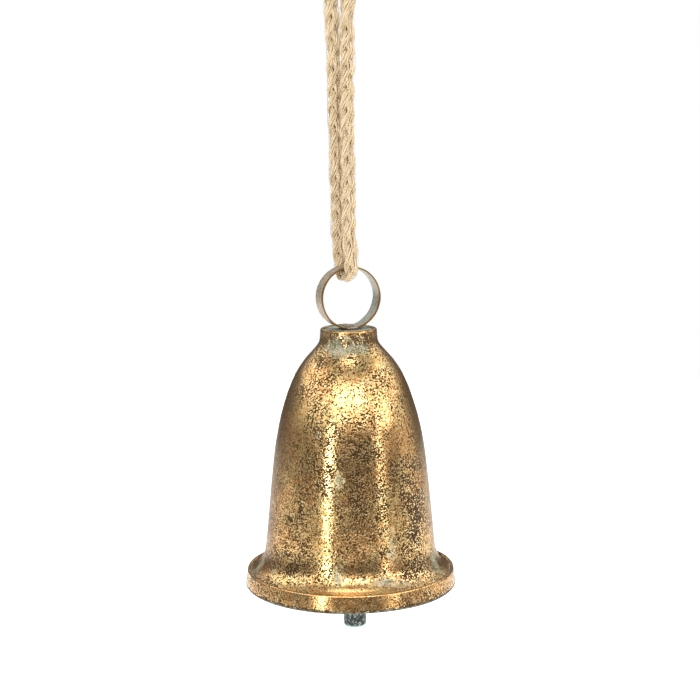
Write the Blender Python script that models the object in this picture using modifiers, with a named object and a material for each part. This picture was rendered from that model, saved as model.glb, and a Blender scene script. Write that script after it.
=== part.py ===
"""A hanging metal bell on a plaited jute rope loop.

The origin is the hanging point, where a hook bears in the crotch of the rope loop, and the
bell hangs plumb below it.  +Z is up.  The hanging ring is a flat strip rolled about Y, so the
rope runs through it from front (-Y) to back (+Y).  Heights are measured from the plane of the
bell's lip and turned into the part's frame by at().
"""

import math

import bmesh
import bpy
from mathutils import Matrix, Vector

MM = 0.001
GAP = 0.3 * MM                  # between pieces that touch or are fastened to each other

# The frame: how far the hanging point lies above the plane of the lip.
HANG_HEIGHT = 410.0 * MM

# The bell's shell, a spun sheet with a raised collar at the crown.
SHEET = 1.6 * MM
SHELL_OUTLINE = [               # radius and height above the lip, in mm, from the crown down
    (16.3, 173.7), (17.3, 172.9), (17.9, 170.5), (18.7, 167.0), (19.6, 163.6), (21.8, 160.3),
    (25.0, 156.6), (29.1, 151.9), (33.1, 146.2), (36.5, 140.0), (39.5, 133.0), (42.6, 124.0),
    (45.5, 114.0), (48.1, 102.0), (50.3, 88.0), (52.1, 72.0), (53.7, 56.0), (55.1, 42.0),
    (56.3, 29.0), (57.4, 21.5), (59.3, 16.4), (62.3, 12.6), (66.2, 10.6),
]
TURNED_STEPS = 56

# The hoop round the mouth.
BAND_TOP_RADIUS = 68.2 * MM
BAND_FOOT_RADIUS = 70.0 * MM
BAND_INNER_RADIUS = 66.5 * MM
BAND_HEIGHT = 11.3 * MM
BAND_EDGE = 0.8 * MM            # how far its edges are rounded

# The crown disc, let into the collar, and the washer under it.
DISC_TOP = 172.0 * MM
DISC_THICKNESS = 2.0 * MM
DISC_RADIUS = 15.6 * MM
WASHER_RADIUS = 6.5 * MM
WASHER_THICKNESS = 1.5 * MM

# The hanging ring.
RING_RADIUS = 20.6 * MM
RING_STRIP = 1.0 * MM
RING_WIDTH = 12.0 * MM
RING_CENTRE = DISC_TOP + GAP + RING_RADIUS

# The eye rivet that clamps ring, crown and washer together and carries the clapper.
SHANK_RADIUS = 2.0 * MM
HOLE_RADIUS = SHANK_RADIUS + GAP
HEAD_RADIUS = 3.4 * MM
HEAD_HEIGHT = 1.1 * MM
EYE_RADIUS = 4.5 * MM           # to the middle of its wire
WIRE_RADIUS = 1.5 * MM

# The clapper: an oval link, a rod with an eye, and a round weight.
LINK_LENGTH = 22.0 * MM         # between the middles of its end wires
WEIGHT_RADIUS = 7.25 * MM
WEIGHT_TOP = 0.5 * MM
WEIGHT_FOOT = -29.5 * MM
WEIGHT_EDGE = 0.8 * MM
SOCKET_DEPTH = 12.0 * MM        # of the rod in the weight
CLAPPER_LEAN = (-0.3, -0.75)    # degrees about X and Y: its eyes let it hang a little to one side

# The rope.
ROPE_RADIUS = 4.0 * MM
ROPE_SIDE = -1.6 * MM           # the rope bears a little to the left of the ring's top
ROPE_DROP = 0.7 * MM            # the plait is thicker than its tube where it bends
BIGHT_BEND = 4.5 * MM
FRONT_LEG = [                   # x, y and height above the lip, in mm, from the ring up
    (-1.6, -10.4, 215.0), (-1.6, -10.2, 221.0), (-1.4, -7.8, 230.0), (-1.3, -5.3, 240.0),
    (-0.9, -4.2, 253.0), (-0.7, -3.8, 270.0), (-1.0, -3.7, 293.0), (-1.0, -3.5, 317.0),
    (-0.7, -3.1, 340.0), (-0.1, -2.4, 360.0), (0.1, -1.8, 377.0), (2.0, -2.0, 388.0),
    (5.6, -2.4, 397.0), (7.0, -2.5, 404.0), (5.2, -2.0, 409.6), (3.9, -1.7, 412.5),
]
BACK_LEG = [
    (-1.6, 10.4, 215.0), (-1.9, 10.2, 221.0), (-3.3, 7.8, 230.0), (-4.3, 5.3, 240.0),
    (-4.9, 4.2, 253.0), (-5.7, 3.8, 270.0), (-6.2, 3.7, 293.0), (-6.6, 3.5, 317.0),
    (-7.1, 3.1, 340.0), (-8.1, 2.4, 360.0), (-8.9, 1.8, 377.0), (-9.4, 2.0, 388.0),
    (-9.3, 2.3, 397.0), (-8.6, 2.4, 404.0), (-6.6, 2.1, 409.6), (-5.2, 1.8, 412.5),
]
ROPE_POINTS = 78
KNOT_CENTRE = (-0.7, 0.0, 429.8)
KNOT_SIZE = (34.0, 35.0, 33.6)
TAIL_LEFT = [(-5.0, 1.5, 447.2), (-7.0, 2.4, 455.0), (-11.0, 3.4, 463.0), (-14.5, 3.8, 470.0)]
TAIL_RIGHT = [(4.4, -1.5, 447.2), (6.6, -2.6, 455.0), (10.4, -4.2, 462.0), (13.0, -5.6, 468.5)]


def at(height):
    """The z of a height above the lip."""
    return height - HANG_HEIGHT


def from_mm(point):
    """A route's point, given in mm with its height above the lip, in the part's frame."""
    return Vector((point[0] * MM, point[1] * MM, at(point[2] * MM)))


# ---------------------------------------------------------------- the scene and its materials

for leftover in list(bpy.data.objects):
    bpy.data.objects.remove(leftover, do_unlink=True)

bell_parts = bpy.data.collections.new("hanging_bell")
cutters = bpy.data.collections.new("cutters")
bpy.context.scene.collection.children.link(bell_parts)
bpy.context.scene.collection.children.link(cutters)


def material(name, colour, metallic, roughness):
    made = bpy.data.materials.new(name)
    made.use_nodes = True
    shader = made.node_tree.nodes["Principled BSDF"]
    shader.inputs["Base Color"].default_value = (*colour, 1.0)
    shader.inputs["Metallic"].default_value = metallic
    shader.inputs["Roughness"].default_value = roughness
    made.diffuse_color = (*colour, 1.0)
    return made


ANTIQUE_GOLD = material("antique_gold", (0.42, 0.26, 0.09), 0.9, 0.35)
VERDIGRIS = material("verdigris", (0.22, 0.26, 0.22), 0.3, 0.7)
RING_METAL = material("ring_metal", (0.38, 0.33, 0.28), 0.6, 0.5)
IRON = material("dark_iron", (0.10, 0.10, 0.09), 0.7, 0.55)
JUTE = material("jute", (0.62, 0.47, 0.29), 0.0, 0.95)


# ---------------------------------------------------------------- ways to make a piece

def add(name, data, finish=None, collection=bell_parts):
    made = bpy.data.objects.new(name, data)
    collection.objects.link(made)
    if finish:
        made.data.materials.append(finish)
    return made


def smooth(piece, degrees=35):
    piece.data.shade_smooth()
    piece.data.set_sharp_from_angle(angle=math.radians(degrees))
    return piece


def through(points, count):
    """count points spread evenly along a smooth curve through the given points."""
    ends = [points[0] * 2 - points[1], *points, points[-1] * 2 - points[-2]]
    fine = []
    for a, b, c, d in zip(ends, ends[1:], ends[2:], ends[3:]):
        for step in range(24):
            t = step / 24
            fine.append(0.5 * (2 * b + (c - a) * t + (2 * a - 5 * b + 4 * c - d) * t ** 2
                               + (3 * b - 3 * c + d - a) * t ** 3))
    fine.append(points[-1])
    reach = [0.0]
    for a, b in zip(fine, fine[1:]):
        reach.append(reach[-1] + (b - a).length)
    spread, i = [], 0
    for k in range(count):
        target = reach[-1] * k / (count - 1)
        while i < len(fine) - 2 and reach[i + 1] < target:
            i += 1
        share = (target - reach[i]) / (reach[i + 1] - reach[i])
        spread.append(fine[i].lerp(fine[i + 1], min(1.0, share)))
    return spread


def turned(name, outline, finish, steps=TURNED_STEPS):
    """A closed outline of (radius, z) turned about Z; it runs down its outer side."""
    mesh = bpy.data.meshes.new(name)
    points = [(r, 0.0, z) for r, z in outline]
    edges = [(i, (i + 1) % len(points)) for i in range(len(points))]
    mesh.from_pydata(points, edges, [])
    made = add(name, mesh, finish)
    screw = made.modifiers.new("turn", "SCREW")
    screw.steps = screw.render_steps = steps
    screw.use_merge_vertices = True
    screw.merge_threshold = 1e-6
    screw.use_smooth_shade = True
    return made


def tube(name, points, radius, finish, closed=False, sides=3, collection=bell_parts):
    """A round wire or rope along points, with filled ends unless it is closed."""
    curve = bpy.data.curves.new(name, "CURVE")
    curve.dimensions = "3D"
    curve.bevel_depth = radius
    curve.bevel_resolution = sides
    curve.use_fill_caps = not closed
    spline = curve.splines.new("POLY")
    spline.points.add(len(points) - 1)
    for point, place in zip(spline.points, points):
        point.co = (*place, 1.0)
    spline.use_cyclic_u = closed
    return add(name, curve, finish, collection)


def primitive(name, build, finish=None, collection=bell_parts, place=None):
    """A mesh object from a bmesh primitive; build fills the bmesh."""
    mesh = bpy.data.meshes.new(name)
    shape = bmesh.new()
    build(shape)
    if place:
        bmesh.ops.transform(shape, matrix=place, verts=shape.verts)
    shape.to_mesh(mesh)
    shape.free()
    return add(name, mesh, finish, collection)


def cylinder(name, radius, low, high, finish=None, collection=bell_parts, segments=32):
    """An upright cylinder between two z values."""
    return primitive(
        name,
        lambda shape: bmesh.ops.create_cone(
            shape, cap_ends=True, segments=segments, radius1=radius, radius2=radius,
            depth=high - low),
        finish, collection, Matrix.Translation((0, 0, (low + high) / 2)))


def cutter(piece):
    piece.hide_render = True
    piece.display_type = "WIRE"
    return piece


def boolean(piece, other, operation):
    step = piece.modifiers.new(operation.lower(), "BOOLEAN")
    step.operation = operation
    step.object = other
    return piece


def wire_eye(name, centre, collection=cutters):
    """A ring of wire that stands in the XZ plane about its centre, as a mesh."""
    made = bpy.data.meshes.new(name)
    shape = bmesh.new()
    rows, sides = 32, 10
    grid = []
    for i in range(rows):
        turn = 2 * math.pi * i / rows
        row = []
        for k in range(sides):
            around = 2 * math.pi * k / sides
            reach = EYE_RADIUS + WIRE_RADIUS * math.cos(around)
            row.append(shape.verts.new((
                reach * math.cos(turn), WIRE_RADIUS * math.sin(around),
                centre + reach * math.sin(turn))))
        grid.append(row)
    for i in range(rows):
        for k in range(sides):
            shape.faces.new((
                grid[i][k], grid[i][(k + 1) % sides],
                grid[(i + 1) % rows][(k + 1) % sides], grid[(i + 1) % rows][k]))
    bmesh.ops.recalc_face_normals(shape, faces=shape.faces)
    shape.to_mesh(made)
    shape.free()
    return cutter(add(name, made, None, collection))


# ---------------------------------------------------------------- the bell

def shell_outline():
    """The sheet's outer side from the crown down, then its inner side back up."""
    outer = through([Vector((r * MM, 0, at(h * MM))) for r, h in SHELL_OUTLINE], 34)
    inner = []
    for i, point in enumerate(outer):
        along = outer[min(i + 1, len(outer) - 1)] - outer[max(i - 1, 0)]
        inward = Vector((along.z, 0, -along.x)).normalized()
        inner.append(point + inward * SHEET)
    seat = at(DISC_TOP - DISC_THICKNESS)
    inner = [p for p in inner if p.z < seat]
    collar = [Vector((DISC_RADIUS + GAP, 0, z)) for z in (seat, outer[0].z)]
    return [(p.x, p.z) for p in outer + inner[::-1] + collar]


def bell_shell():
    return smooth(turned("bell_shell", shell_outline(), ANTIQUE_GOLD))


def lip_band():
    """The hoop that stiffens the mouth, its edges rounded."""
    top, foot, edge = at(BAND_HEIGHT), at(0), BAND_EDGE
    outline = [
        (BAND_INNER_RADIUS + edge, top), (BAND_TOP_RADIUS - edge, top),
        (BAND_TOP_RADIUS - edge * 0.3, top - edge * 0.3), (BAND_TOP_RADIUS, top - edge),
        (BAND_FOOT_RADIUS, foot + edge), (BAND_FOOT_RADIUS - edge * 0.3, foot + edge * 0.3),
        (BAND_FOOT_RADIUS - edge, foot), (BAND_INNER_RADIUS + edge / 2, foot),
        (BAND_INNER_RADIUS, foot + edge / 2), (BAND_INNER_RADIUS, top - edge),
    ]
    return smooth(turned("lip_band", outline, ANTIQUE_GOLD))


def crown_disc():
    top, foot = at(DISC_TOP), at(DISC_TOP - DISC_THICKNESS)
    outline = [(HOLE_RADIUS, top), (DISC_RADIUS, top), (DISC_RADIUS, foot), (HOLE_RADIUS, foot)]
    return smooth(turned("crown_disc", outline, VERDIGRIS, 40))


def washer_top():
    return at(DISC_TOP - DISC_THICKNESS) - GAP


def backing_washer():
    top = washer_top()
    foot = top - WASHER_THICKNESS
    outline = [
        (HOLE_RADIUS, top), (WASHER_RADIUS, top), (WASHER_RADIUS, foot), (HOLE_RADIUS, foot)]
    return smooth(turned("backing_washer", outline, IRON, 32))


def hanging_ring():
    """A flat strip rolled into a ring about Y, drilled at its foot for the rivet."""
    half, edge = RING_WIDTH / 2, 0.3 * MM
    outer, inner = RING_RADIUS, RING_RADIUS - RING_STRIP
    outline = [
        (outer - edge, half), (outer, half - edge), (outer, edge - half), (outer - edge, -half),
        (inner + edge, -half), (inner, edge - half), (inner, half - edge), (inner + edge, half)]
    ring = smooth(turned("hanging_ring", outline, RING_METAL, 64))
    ring.rotation_euler = (math.pi / 2, 0, 0)
    ring.location = (0, 0, at(RING_CENTRE))
    drill = cutter(cylinder(
        "ring_drill", HOLE_RADIUS, at(DISC_TOP) - MM, at(DISC_TOP) + 4 * MM, None, cutters, 24))
    return boolean(ring, drill, "DIFFERENCE")


def ring_weld(name, side):
    """A bead of weld in the corner between the ring's edge and the crown disc."""
    long, wide, tall = 3.4 * MM, 1.0 * MM, 1.0 * MM
    place = Matrix.Translation((0, side * (RING_WIDTH / 2 + 1.4 * GAP + wide),
                                at(DISC_TOP) + 1.4 * GAP + tall))
    size = Matrix.Diagonal((long, wide, tall, 1.0))
    return smooth(primitive(
        name,
        lambda shape: bmesh.ops.create_uvsphere(shape, u_segments=16, v_segments=8, radius=1.0),
        RING_METAL, bell_parts, place @ size))


def eye_centre():
    return washer_top() - WASHER_THICKNESS - GAP - EYE_RADIUS - WIRE_RADIUS


def eye_rivet():
    """An eye below the crown on a shank that is peened over inside the ring."""
    seat = RING_CENTRE - math.sqrt((RING_RADIUS - RING_STRIP) ** 2 - HEAD_RADIUS ** 2) + GAP
    foot, top = at(seat), at(seat) + HEAD_HEIGHT
    low = eye_centre() + EYE_RADIUS
    outline = [
        (0, top), (HEAD_RADIUS * 0.7, top - 0.15 * MM), (HEAD_RADIUS, top - 0.6 * MM),
        (HEAD_RADIUS, foot), (SHANK_RADIUS, foot), (SHANK_RADIUS, low), (0, low)]
    rivet = smooth(turned("eye_rivet", outline, IRON, 24))
    return boolean(rivet, wire_eye("rivet_eye", eye_centre()), "UNION")


def link_top():
    """The z of the middle of the link's upper wire, which the clapper swings about."""
    return eye_centre() - EYE_RADIUS + 2 * WIRE_RADIUS + GAP


def clapper_link():
    """An oval wire link in the YZ plane, hung in the rivet's eye."""
    bend = EYE_RADIUS
    points = []
    for middle, start in ((link_top() - bend, 0), (link_top() - LINK_LENGTH + bend, math.pi)):
        for k in range(9):
            turn = start + math.pi * k / 8
            points.append((0, bend * math.cos(turn), middle + bend * math.sin(turn)))
    return tube("clapper_link", points, WIRE_RADIUS, IRON, closed=True)


def rock_axis():
    """The z of the middle of the clapper eye's upper wire, which rocks on the link's lower wire."""
    return link_top() - LINK_LENGTH + 2 * WIRE_RADIUS + GAP


def clapper_rod():
    centre = rock_axis() - EYE_RADIUS
    rod = smooth(cylinder(
        "clapper_rod", SHANK_RADIUS, at(WEIGHT_TOP - SOCKET_DEPTH) + GAP, centre - EYE_RADIUS,
        IRON, bell_parts, 20))
    return boolean(rod, wire_eye("rod_eye", centre), "UNION")


def clapper_weight():
    """A round weight with a socket in its top for the rod."""
    top, foot, edge = at(WEIGHT_TOP), at(WEIGHT_FOOT), WEIGHT_EDGE
    outline = [
        (HOLE_RADIUS, top), (WEIGHT_RADIUS - edge, top), (WEIGHT_RADIUS, top - edge),
        (WEIGHT_RADIUS, foot + edge), (WEIGHT_RADIUS - edge * 0.3, foot + edge * 0.3),
        (WEIGHT_RADIUS - edge, foot), (0, foot), (0, top - SOCKET_DEPTH),
        (HOLE_RADIUS, top - SOCKET_DEPTH)]
    return smooth(turned("clapper_weight", outline, VERDIGRIS, 40))


# ---------------------------------------------------------------- the rope

def bight_level():
    """The height of the rope's middle under the ring's top, which the ring swings about."""
    inside = RING_RADIUS - RING_STRIP - GAP - ROPE_RADIUS
    return RING_CENTRE + math.sqrt(inside ** 2 - ROPE_SIDE ** 2) - ROPE_DROP


def bight():
    """The rope's bend under the ring's top, from the front leg to the back one."""
    level = bight_level()
    turn_y = -FRONT_LEG[0][1] * MM - BIGHT_BEND
    front = []
    for k in range(5):
        turn = math.pi / 2 * k / 4
        front.append(Vector((ROPE_SIDE, -turn_y - BIGHT_BEND * math.cos(turn),
                             at(level) + BIGHT_BEND * (1 - math.sin(turn)))))
    middle = [Vector((ROPE_SIDE, y * turn_y, at(level))) for y in (-0.5, 0, 0.5)]
    back = [Vector((p.x, -p.y, p.z)) for p in front[::-1]]
    return front + middle + back


def rope_loop():
    """The loop from the knot down through the ring and up again."""
    route = ([from_mm(p) for p in FRONT_LEG[::-1]] + bight() + [from_mm(p) for p in BACK_LEG])
    return tube("rope_loop", through(route, ROPE_POINTS), ROPE_RADIUS, JUTE)


def rope_knot():
    """The outer shape of the overhand knot that both legs are tied in."""
    size = Matrix.Diagonal((*(s * MM / 2 for s in KNOT_SIZE), 1.0))
    place = Matrix.Translation(from_mm(KNOT_CENTRE))
    return smooth(primitive(
        "rope_knot",
        lambda shape: bmesh.ops.create_uvsphere(shape, u_segments=20, v_segments=12, radius=1.0),
        JUTE, bell_parts, place @ size))


def rope_tail(name, route):
    return tube(name, through([from_mm(p) for p in route], 10), ROPE_RADIUS, JUTE)


def pivot(name, place, pieces):
    """An empty on a joint's axis that carries the pieces that turn about it."""
    made = bpy.data.objects.new(name, None)
    made.empty_display_size = 0.01
    made.location = place
    bell_parts.objects.link(made)
    bpy.context.view_layer.update()
    for piece in pieces:
        piece.parent = made
        piece.matrix_parent_inverse = made.matrix_world.inverted()
    return made


clapper_pivot = pivot("clapper_pivot", (0, 0, rock_axis()), [
    clapper_rod(), clapper_weight(), bpy.data.objects["rod_eye"]])
link_pivot = pivot("link_pivot", (0, 0, link_top()), [clapper_link(), clapper_pivot])
link_pivot.rotation_euler = (*(math.radians(lean) for lean in CLAPPER_LEAN), 0)
pivot("bell_pivot", (ROPE_SIDE, 0, at(bight_level())), [
    bell_shell(), lip_band(), crown_disc(), backing_washer(), hanging_ring(),
    ring_weld("ring_weld_front", -1), ring_weld("ring_weld_back", 1), eye_rivet(),
    bpy.data.objects["ring_drill"], bpy.data.objects["rivet_eye"], link_pivot])
rope_loop()
rope_knot()
rope_tail("rope_tail_left", TAIL_LEFT)
rope_tail("rope_tail_right", TAIL_RIGHT)
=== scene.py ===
"""The looks of a hanging bell on a loop of plaited jute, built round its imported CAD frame.

Everything is in metres in the frame's own axes: the origin is the point where a hook bears under
the rope's knot, the bell hangs plumb below it, and +Z is up.  Sizes below are in millimetres and
are turned into metres by MM; heights are measured from the plane of the bell's lip by at().
"""

import itertools
import math

import bpy
import numpy as np
from mathutils import Euler, Matrix, Quaternion, Vector


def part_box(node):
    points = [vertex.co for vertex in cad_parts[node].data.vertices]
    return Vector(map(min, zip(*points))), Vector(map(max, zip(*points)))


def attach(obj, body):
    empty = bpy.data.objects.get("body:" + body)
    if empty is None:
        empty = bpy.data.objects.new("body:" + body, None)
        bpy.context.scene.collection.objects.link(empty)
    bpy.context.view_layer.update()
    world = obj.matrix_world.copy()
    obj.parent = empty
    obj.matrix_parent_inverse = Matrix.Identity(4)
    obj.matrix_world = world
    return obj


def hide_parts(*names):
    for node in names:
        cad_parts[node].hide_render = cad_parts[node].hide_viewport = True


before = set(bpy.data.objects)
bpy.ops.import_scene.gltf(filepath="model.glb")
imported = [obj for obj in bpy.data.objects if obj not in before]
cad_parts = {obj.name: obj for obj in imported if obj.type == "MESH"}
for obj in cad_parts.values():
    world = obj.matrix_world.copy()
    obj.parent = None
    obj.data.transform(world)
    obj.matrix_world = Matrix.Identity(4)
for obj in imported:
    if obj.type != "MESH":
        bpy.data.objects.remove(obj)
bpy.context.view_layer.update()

MM = 0.001
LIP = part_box("lip_band")[0].z
FRONT = -20.5                    # degrees: the bearing that the bell is looked at from


def at(height):
    """The z of a height above the lip, in metres, for a height in mm."""
    return LIP + height * MM


def add_object(name, data):
    made = bpy.data.objects.new(name, data)
    bpy.context.scene.collection.objects.link(made)
    return made


# ---------------------------------------------------------------- camera

CAMERA_DISTANCE = 1028.0         # from the bell's axis, level, in mm
CAMERA_HEIGHT = 317.0            # above the lip
CAMERA_PITCH = 8.8               # degrees down
CAMERA_TURN = 0.047              # degrees right of the bell's axis
CAMERA_ROLL = 0.5                # degrees: the bell hangs very slightly out of plumb in the picture
CAMERA_LENS = 81.3               # mm


def add_camera():
    bearing = math.radians(FRONT)
    camera = add_object("camera", bpy.data.cameras.new("camera"))
    camera.data.lens = CAMERA_LENS
    camera.location = (math.sin(bearing) * CAMERA_DISTANCE * MM,
                       -math.cos(bearing) * CAMERA_DISTANCE * MM, at(CAMERA_HEIGHT))
    camera.rotation_mode = "QUATERNION"
    camera.rotation_quaternion = (
        Quaternion((0, 0, 1), math.radians(FRONT - CAMERA_TURN))
        @ Quaternion((1, 0, 0), math.radians(90 - CAMERA_PITCH))
        @ Quaternion((0, 0, 1), math.radians(-CAMERA_ROLL)))
    bpy.context.scene.camera = camera


add_camera()


# ---------------------------------------------------------------- numbers and meshes

def lumps(points, size, seed):
    """Smooth noise from -1 to 1 at each point, in lumps of the given size.

    Each corner of a grid of cells has a scattered whole number of its own, made from its place, and
    the noise turns smoothly from corner to corner.
    """
    scaled = np.asarray(points, float) / size
    cell = np.floor(scaled).astype(np.int64)
    share = scaled - cell
    share = share * share * (3 - 2 * share)
    total = np.zeros(len(scaled))
    for corner in itertools.product((0, 1), repeat=3):
        place = cell + corner
        mixed = (place[:, 0] * 374761393 + place[:, 1] * 668265263
                 + place[:, 2] * 915488749 + seed * 1274126177) & 0xFFFFFFFF
        mixed = ((mixed ^ (mixed >> 13)) * 1274126177) & 0xFFFFFFFF
        value = ((mixed ^ (mixed >> 16)) & 0xFFFF) / 32767.5 - 1
        weight = np.prod(np.where(corner, share, 1 - share), axis=1)
        total += weight * value
    return total


def uneven(points, *layers):
    """How far a worked surface stands proud at each point, in metres: a sum of layers of lumps,
    each as (depth, size, seed), in mm."""
    return MM * sum(depth * lumps(points, size * MM, seed) for depth, size, seed in layers)


def unit(vectors):
    return vectors / np.maximum(np.linalg.norm(vectors, axis=-1, keepdims=True), 1e-12)


def squared(side, direction):
    """A direction turned square to another one."""
    side = side - direction * (side @ direction)
    return side / np.linalg.norm(side)


def even(points, spacing):
    """Points spread evenly along a run of points."""
    points = np.asarray(points, float)
    reach = np.concatenate([[0], np.cumsum(np.linalg.norm(np.diff(points, axis=0), axis=1))])
    count = max(2, int(round(reach[-1] / spacing)) + 1)
    target = np.linspace(0, reach[-1], count)
    return np.stack([np.interp(target, reach, points[:, k]) for k in range(points.shape[1])], 1)


def curved(points, steps=16):
    """A smooth Catmull-Rom curve through the points, with some steps between each two."""
    points = np.asarray(points, float)
    ends = np.vstack([points[0] * 2 - points[1], points, points[-1] * 2 - points[-2]])
    a, b, c, d = ends[:-3], ends[1:-2], ends[2:-1], ends[3:]
    t = (np.arange(steps) / steps)[:, None, None]
    run = 0.5 * (2 * b + (c - a) * t + (2 * a - 5 * b + 4 * c - d) * t ** 2
                 + (3 * b - 3 * c + d - a) * t ** 3)
    run = run.transpose(1, 0, 2).reshape(-1, points.shape[1])
    return np.vstack([run, points[-1]])


def grid_faces(rows, columns, wrap_rows=False, start=0):
    """Quads of a grid of points, stored row by row from start, whose rows each close on themselves."""
    r, c = np.meshgrid(np.arange(rows if wrap_rows else rows - 1), np.arange(columns), indexing="ij")
    r, c = r.ravel(), c.ravel()
    below, beside = (r + 1) % rows, (c + 1) % columns
    return start + np.stack(
        [r * columns + c, r * columns + beside, below * columns + beside, below * columns + c], 1)


def make_piece(name, points, faces, finish, body, replaced, marks, sharp=40):
    """A mesh that rides on a body.  Marks are values kept at each point for its material.  An edge
    of more than sharp degrees stays sharp, and None leaves no edge sharp."""
    mesh = bpy.data.meshes.new(name)
    mesh.from_pydata(np.asarray(points).tolist(), [], [list(f) for f in faces])
    for mark, values in marks.items():
        values = np.asarray(values, np.float32)
        kind = "FLOAT" if values.ndim == 1 else "FLOAT_VECTOR"
        field = mesh.attributes.new(mark, kind, "POINT")
        field.data.foreach_set("value" if values.ndim == 1 else "vector", values.ravel())
    mesh.shade_smooth()
    if sharp:
        mesh.set_sharp_from_angle(angle=math.radians(sharp))
    mesh.materials.append(finish)
    made = add_object(name, mesh)
    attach(made, body)
    if replaced:
        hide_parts(*replaced)
    return made


# ---------------------------------------------------------------- materials

class Finish:
    """A material's nodes, added one at a time; a socket or a number may stand for any input."""

    def __init__(self, name):
        self.material = bpy.data.materials.new(name)
        self.material.use_nodes = True
        self.nodes = self.material.node_tree.nodes
        self.links = self.material.node_tree.links
        self.shader = self.nodes["Principled BSDF"]
        self.place = self.add("ShaderNodeTexCoord").outputs["Object"]

    def add(self, kind, inputs=None, **settings):
        """A node with its settings, and its inputs given by name or number."""
        node = self.nodes.new(kind)
        for key, value in settings.items():
            setattr(node, key, value)
        for key, value in (inputs or {}).items():
            self.put(node.inputs[key], value)
        return node

    def put(self, socket, value):
        if isinstance(value, bpy.types.NodeSocket):
            self.links.new(value, socket)
        elif isinstance(value, tuple) and len(value) == 3 and socket.type == "RGBA":
            socket.default_value = (*value, 1.0)
        else:
            socket.default_value = value

    def set(self, **inputs):
        """Gives the shader its inputs, with _ for a space in their names."""
        for key, value in inputs.items():
            self.put(self.shader.inputs[key.replace("_", " ")], value)

    def mark(self, name, output="Fac"):
        """What a piece's points carry under a name."""
        return self.add("ShaderNodeAttribute", attribute_name=name).outputs[output]

    def stretch(self, place, scale):
        """A place with each of its coordinates scaled."""
        return self.add("ShaderNodeVectorMath", {0: place, 1: scale},
                        operation="MULTIPLY").outputs[0]

    def noise(self, size, detail, roughness=0.5, place=None):
        """Noise in lumps of a size in mm, with finer lumps over them as detail and roughness grow."""
        return self.add("ShaderNodeTexNoise", {
            "Vector": place or self.place, "Scale": 1 / (size * MM), "Detail": detail,
            "Roughness": roughness}).outputs["Fac"]

    def math(self, operation, a, b, c=0.0):
        return self.add("ShaderNodeMath", {0: a, 1: b, 2: c}, operation=operation).outputs[0]

    def step(self, value, low, high, to_low=0.0, to_high=1.0):
        """Turns a value from low..high smoothly into to_low..to_high."""
        return self.add("ShaderNodeMapRange", {
            "Value": value, "From Min": low, "From Max": high, "To Min": to_low,
            "To Max": to_high}, interpolation_type="SMOOTHSTEP").outputs[0]

    def mix(self, share, a, b):
        """A colour between a and b."""
        node = self.add("ShaderNodeMix", data_type="RGBA")
        self.put(node.inputs[0], share)
        self.put(node.inputs[6], a)
        self.put(node.inputs[7], b)
        return node.outputs[2]

    def blend(self, share, a, b):
        """A number between a and b."""
        node = self.add("ShaderNodeMix", data_type="FLOAT")
        self.put(node.inputs[0], share)
        self.put(node.inputs[2], a)
        self.put(node.inputs[3], b)
        return node.outputs[0]

    def bump(self, height, distance, strength, over=None):
        """A normal bent by a height of up to distance, in mm, over another normal if one is given."""
        inputs = {"Height": height, "Distance": distance * MM, "Strength": strength}
        if over is not None:
            inputs["Normal"] = over
        return self.add("ShaderNodeBump", inputs).outputs["Normal"]


GOLD = (0.76, 0.475, 0.17)
PALE_GOLD = (0.91, 0.73, 0.39)
COPPER = (0.70, 0.35, 0.115)
OLIVE = (0.40, 0.30, 0.13)
SOOT = (0.030, 0.016, 0.007)
BROWN = (0.105, 0.057, 0.021)
WORN_AND_SHADE_BROWN = (0.17, 0.10, 0.05)
VERDIGRIS = (0.20, 0.21, 0.13)
PALE_VERDIGRIS = (0.39, 0.43, 0.33)
GREEN_FILM = (0.38, 0.44, 0.39)
JUTE_SHADE = (0.42, 0.28, 0.13)
JUTE_STRAW = (0.84, 0.695, 0.465)
JUTE_TAN = (0.60, 0.44, 0.245)
JUTE_SHADE_BROWN = (0.25, 0.135, 0.05)

LEAF_GRAIN = 1.1                 # mm: the size of the leaf's flecks


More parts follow.
